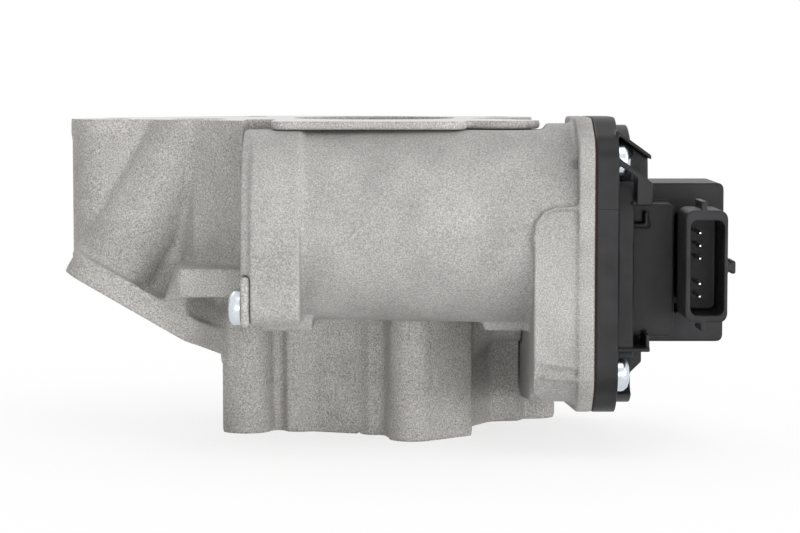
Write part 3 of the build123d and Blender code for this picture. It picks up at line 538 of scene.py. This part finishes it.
def castings():
    """Valve body, actuator housing and gear cover."""
    faces = (TOP_FACE, BASE_FACE, PIPE_FACE)
    skin("valve_body", "cast_body", 0.45, 0.8,
         [(*face, HOLD_REACH) for face in (*faces, COLUMN_SIDE)],
         [(*face, BODY_SNAP) for face in faces],
         [hull_mesh(BAR_ROOT), prism(*FOOT_WEB), prism(*BRACKET_FILL)])
    skin("actuator_housing", "die_cast", 0.40, 0.45,
         [(*COVER_JOINT, HOLD_REACH), (*CASE_BACK, SEAT_REACH)],
         [(*COVER_JOINT, HOUSING_SNAP)],
         [rod_mesh(a, b, radius) for radius, line in HOUSING_EDGES for a, b in zip(line, line[1:])])
    skin("gear_cover", "cover_plastic", 0.26, 0.0, [(*COVER_SEAT, SEAT_REACH)])


def screw_mesh(seat, direction, length):
    """Pan-head screw along X with a chamfered tip and a recess in its head."""
    x, y, z = seat
    rings = [(-length, SHANK_R - TIP_CUT, 0.0), (TIP_LENGTH - length, SHANK_R, 0.0), (0.0, SHANK_R, 0.0)]
    rings += [(height, radius, 0.0) for height, radius in SCREW_HEAD]
    rings += RECESS
    verts, faces = [], []
    for height, middle, lobe in rings:
        for i in range(SCREW_SIDES):
            a = 2 * math.pi * i / SCREW_SIDES
            r = middle + lobe * math.cos(LOBES * a)
            verts.append(((x - direction * height) * MM, (y + r * math.cos(a)) * MM,
                          (z + r * math.sin(a)) * MM))
    for k in range(len(rings) - 1):
        for i in range(SCREW_SIDES):
            j = (i + 1) % SCREW_SIDES
            a, b = k * SCREW_SIDES, (k + 1) * SCREW_SIDES
            faces.append((a + i, a + j, b + j, b + i))
    faces.append(tuple(range(SCREW_SIDES))[::-1])
    last = (len(rings) - 1) * SCREW_SIDES
    faces.append(tuple(last + i for i in range(SCREW_SIDES)))
    mesh = bpy.data.meshes.new("screw")
    mesh.from_pydata(verts, [], faces)
    work = bmesh.new()
    work.from_mesh(mesh)
    bmesh.ops.recalc_face_normals(work, faces=work.faces)
    work.to_mesh(mesh)
    work.free()
    return mesh


def screws(node, places):
    """One piece for all the screws of a node."""
    mesh = join_meshes(node, [screw_mesh(*place) for place in places])
    piece = link_piece(f"{node}_detail", mesh, "zinc_steel", "housing")
    sharp_shading(piece, CREASE_DEGREES)
    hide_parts(node)


def pins():
    """Square pins with chamfered tips."""
    work = bmesh.new()
    for row in PIN_ROWS:
        z = SOCKET_Z + row * PIN_PITCH
        rings = [[work.verts.new(Vector((PIN_X + u * half, y, z + v * half)) * MM)
                  for u, v in ((-1, -1), (1, -1), (1, 1), (-1, 1))] for y, half in PIN_PROFILE]
        for low, high in zip(rings, rings[1:]):
            for i in range(4):
                work.faces.new((low[i], low[(i + 1) % 4], high[(i + 1) % 4], high[i]))
        work.faces.new(rings[0][::-1])
        work.faces.new(rings[-1])
    bmesh.ops.recalc_face_normals(work, faces=work.faces)
    piece = link_piece("connector_pins_detail", bmesh_to_mesh(work, "pins"), "pin_tin", "housing")
    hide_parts("connector_pins")


def parting_line():
    """Fine raised line where the two halves of the cover's mould meet."""
    curve = bpy.data.curves.new("cover_parting_line", "CURVE")
    curve.dimensions = "3D"
    spline = curve.splines.new("POLY")
    spline.points.add(len(PARTING_LINE) - 1)
    for spot, place in zip(spline.points, PARTING_LINE):
        spot.co = (*(Vector(place) * MM), 1.0)
    curve.bevel_depth = PARTING_RADIUS * MM
    curve.bevel_resolution = 1
    curve.use_fill_caps = True
    temporary = bpy.data.objects.new("cover_parting_line", curve)
    mesh = bpy.data.meshes.new_from_object(temporary)
    bpy.data.objects.remove(temporary)
    smooth_faces(link_piece("cover_parting_line", mesh, "cover_plastic", "housing"))


# ------------------------------------------------------------------ studio
def camera():
    data = bpy.data.cameras.new("camera")
    data.sensor_width = SENSOR
    data.lens = SENSOR * FOCAL_PX / PICTURE_W
    data.clip_start, data.clip_end = CLIP_NEAR, CLIP_FAR
    cam = bpy.data.objects.new("camera", data)
    pitch = math.atan((PICTURE_H / 2 - HORIZON_ROW) / FOCAL_PX)
    cam.location = Vector(EYE) * MM
    cam.rotation_euler = (math.pi / 2 - pitch, 0.0, 0.0)
    bpy.context.scene.collection.objects.link(cam)
    bpy.context.scene.camera = cam


def area_light(name, place, size, power):
    data = bpy.data.lights.new(name, "AREA")
    data.shape = "RECTANGLE"
    data.size, data.size_y = size
    data.energy = power
    lamp = bpy.data.objects.new(name, data)
    lamp.location = place
    aim = Vector(LAMP_AIM) - Vector(place)
    lamp.rotation_euler = aim.to_track_quat("-Z", "Y").to_euler()
    bpy.context.scene.collection.objects.link(lamp)


def backdrop_rays(owner):
    """1 for rays that should see the white studio: from the camera, mirror-like or through glass."""
    path = add(owner, "ShaderNodeLightPath")
    total = path.outputs["Is Camera Ray"]
    for name in ("Is Glossy Ray", "Is Transmission Ray"):
        either = add(owner, "ShaderNodeMath", operation="MAXIMUM")
        link(owner, total, either.inputs[0])
        link(owner, path.outputs[name], either.inputs[1])
        total = either.outputs[0]
    return total


def studio():
    """Soft lamps, and a world that is white to look at and lights the part more from +X."""
    for lamp in LAMPS:
        area_light(*lamp)
    world = bpy.data.worlds.new("world")
    bpy.context.scene.world = world
    world.use_nodes = True
    place = add(world, "ShaderNodeTexCoord")
    split = add(world, "ShaderNodeSeparateXYZ")
    soft = add(world, "ShaderNodeMapRange", From_Min=-1.0, To_Min=AMBIENT_LEFT, To_Max=AMBIENT_RIGHT)
    link(world, place.outputs["Generated"], split.inputs[0])
    link(world, split.outputs["X"], soft.inputs["Value"])
    shade = add(world, "ShaderNodeMix", data_type="RGBA")
    shade.inputs[7].default_value = (1, 1, 1, 1)
    link(world, backdrop_rays(world), shade.inputs[0])
    link(world, soft.outputs["Result"], shade.inputs[6])
    link(world, shade.outputs[2], world.node_tree.nodes["Background"].inputs["Color"])


def floor():
    """Pale floor that shows the part's shadow close by and fades into the white backdrop."""
    mesh = bpy.data.meshes.new("floor")
    half, level = FLOOR_HALF, (BASE_Z - FLOOR_GAP) * MM
    corners = [(-half, -half, level), (half, -half, level), (half, half, level), (-half, half, level)]
    mesh.from_pydata(corners, [], [(0, 1, 2, 3)])
    plane = bpy.data.objects.new("floor", mesh)
    bpy.context.scene.collection.objects.link(plane)
    mat, shader = new_material("floor")
    shader.inputs["Base Color"].default_value = (0.95, 0.95, 0.95, 1)
    shader.inputs["Roughness"].default_value = 0.9
    glow = add(mat, "ShaderNodeEmission", Strength=1.0)
    blend = add(mat, "ShaderNodeMixShader")
    coords = add(mat, "ShaderNodeTexCoord")
    reach = add(mat, "ShaderNodeVectorMath", operation="LENGTH")
    fade = add(mat, "ShaderNodeMapRange", From_Min=SHADOW_NEAR, From_Max=SHADOW_FAR,
               To_Min=SHADOW_GLOW, To_Max=1.0)
    share = add(mat, "ShaderNodeMath", operation="MULTIPLY")
    link(mat, coords.outputs["Object"], reach.inputs[0])
    link(mat, reach.outputs["Value"], fade.inputs["Value"])
    link(mat, backdrop_rays(mat), share.inputs[0])
    link(mat, fade.outputs["Result"], share.inputs[1])
    link(mat, share.outputs[0], blend.inputs["Fac"])
    link(mat, shader.outputs["BSDF"], blend.inputs[1])
    link(mat, glow.outputs[0], blend.inputs[2])
    out = next(n for n in mat.node_tree.nodes if n.type == "OUTPUT_MATERIAL")
    link(mat, blend.outputs[0], out.inputs["Surface"])
    mesh.materials.append(mat)


dress_cad_nodes()
castings()
screws("cover_screws", COVER_SCREWS)
screws("housing_screws", HOUSING_SCREWS)
pins()
parting_line()
camera()
studio()
floor()
bpy.context.scene.view_settings.view_transform = "Standard"
